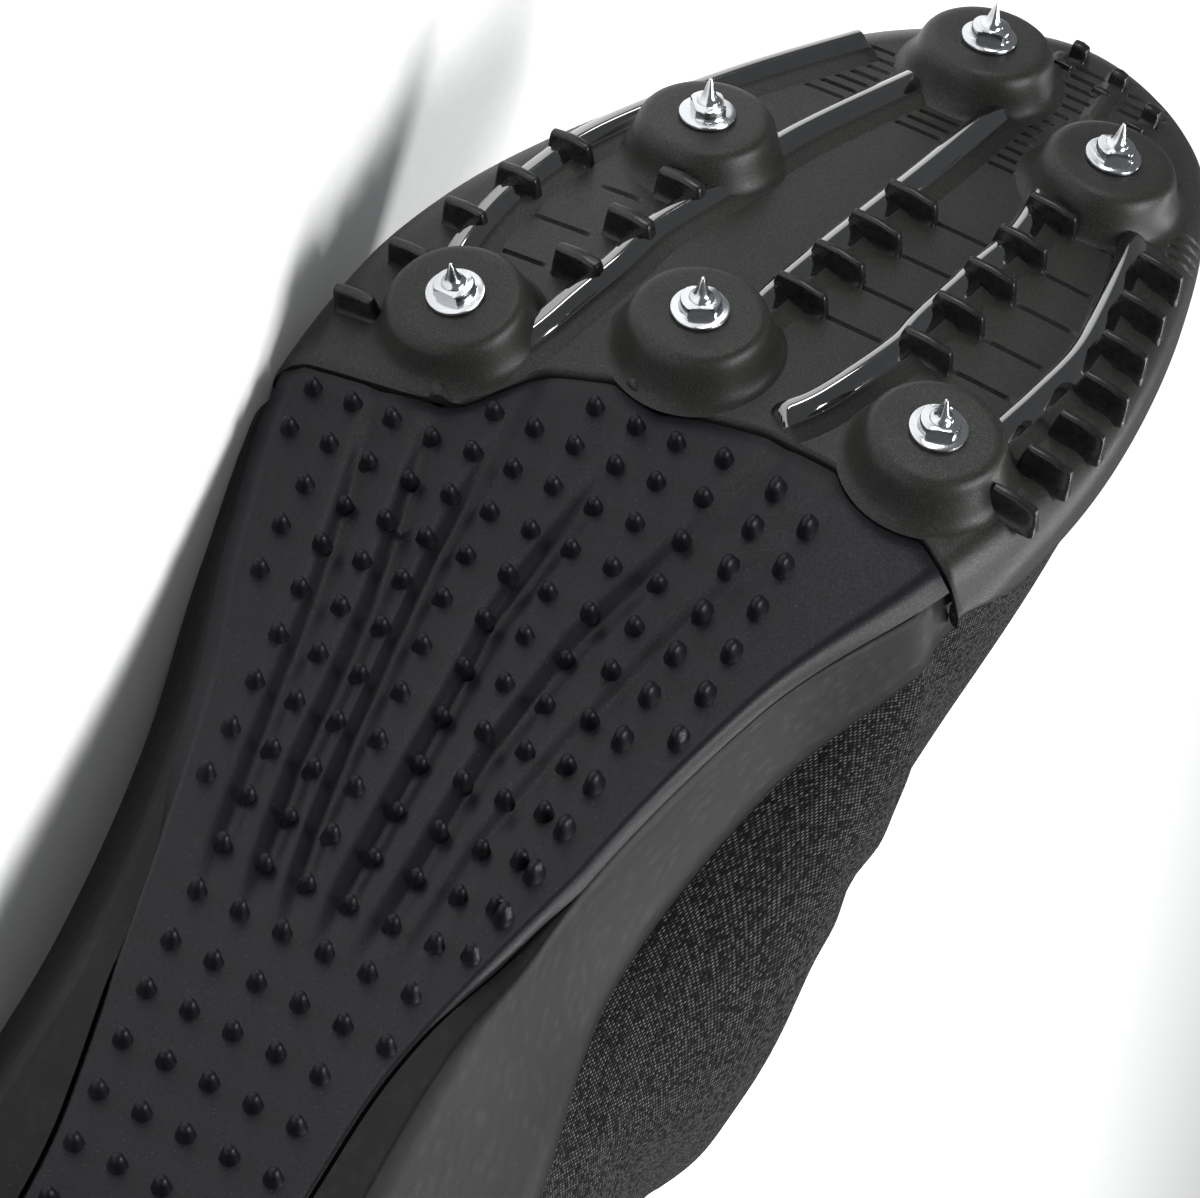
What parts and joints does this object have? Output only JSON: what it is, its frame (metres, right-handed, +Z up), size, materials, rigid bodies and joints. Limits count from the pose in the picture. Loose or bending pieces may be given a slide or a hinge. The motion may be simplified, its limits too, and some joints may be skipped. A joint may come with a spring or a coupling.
{
  "type": "track spike shoe",
  "caption": "Right track running shoe with a bossed plastic forefoot plate, screwed steel spikes, rubber waist pad, foam midsole and knitted upper, lying on its side.",
  "frame": {"origin": "middle of the shoe's footprint on the floor, as the shoe lies on its lateral side", "axes": "-X from the heel towards the toe, -Y the way the sole faces, +Z up from the floor, which is the shoe's medial side"},
  "size_m": [0.2772, 0.1096, 0.1082],
  "materials": {
    "knit": "black knitted mesh with light grey flecks",
    "foam": "satin black moulded foam skin, faintly pebbled",
    "plate_plastic": "fine grained black plastic with polished ribs",
    "pad_rubber": "satin bluish black rubber",
    "steel": "bright zinc plated",
    "footbed": "matt black footbed cloth",
    "film": "satin black welded film",
    "cord": "black braided lace"
  },
  "bodies": {
    "root": {"upper": "knit", "midsole": "foam", "insole": "footbed", "tongue": "knit", "eyestay": "film", "lace": "cord", "spike_plate": "plate_plastic", "rubber_pad": "pad_rubber", "spike_toe_lateral": "steel", "spike_toe_medial": "steel", "spike_middle_lateral": "steel", "spike_rear_lateral": "steel", "spike_rear_middle": "steel", "spike_rear_medial": "steel"}
  },
  "joints": []
}
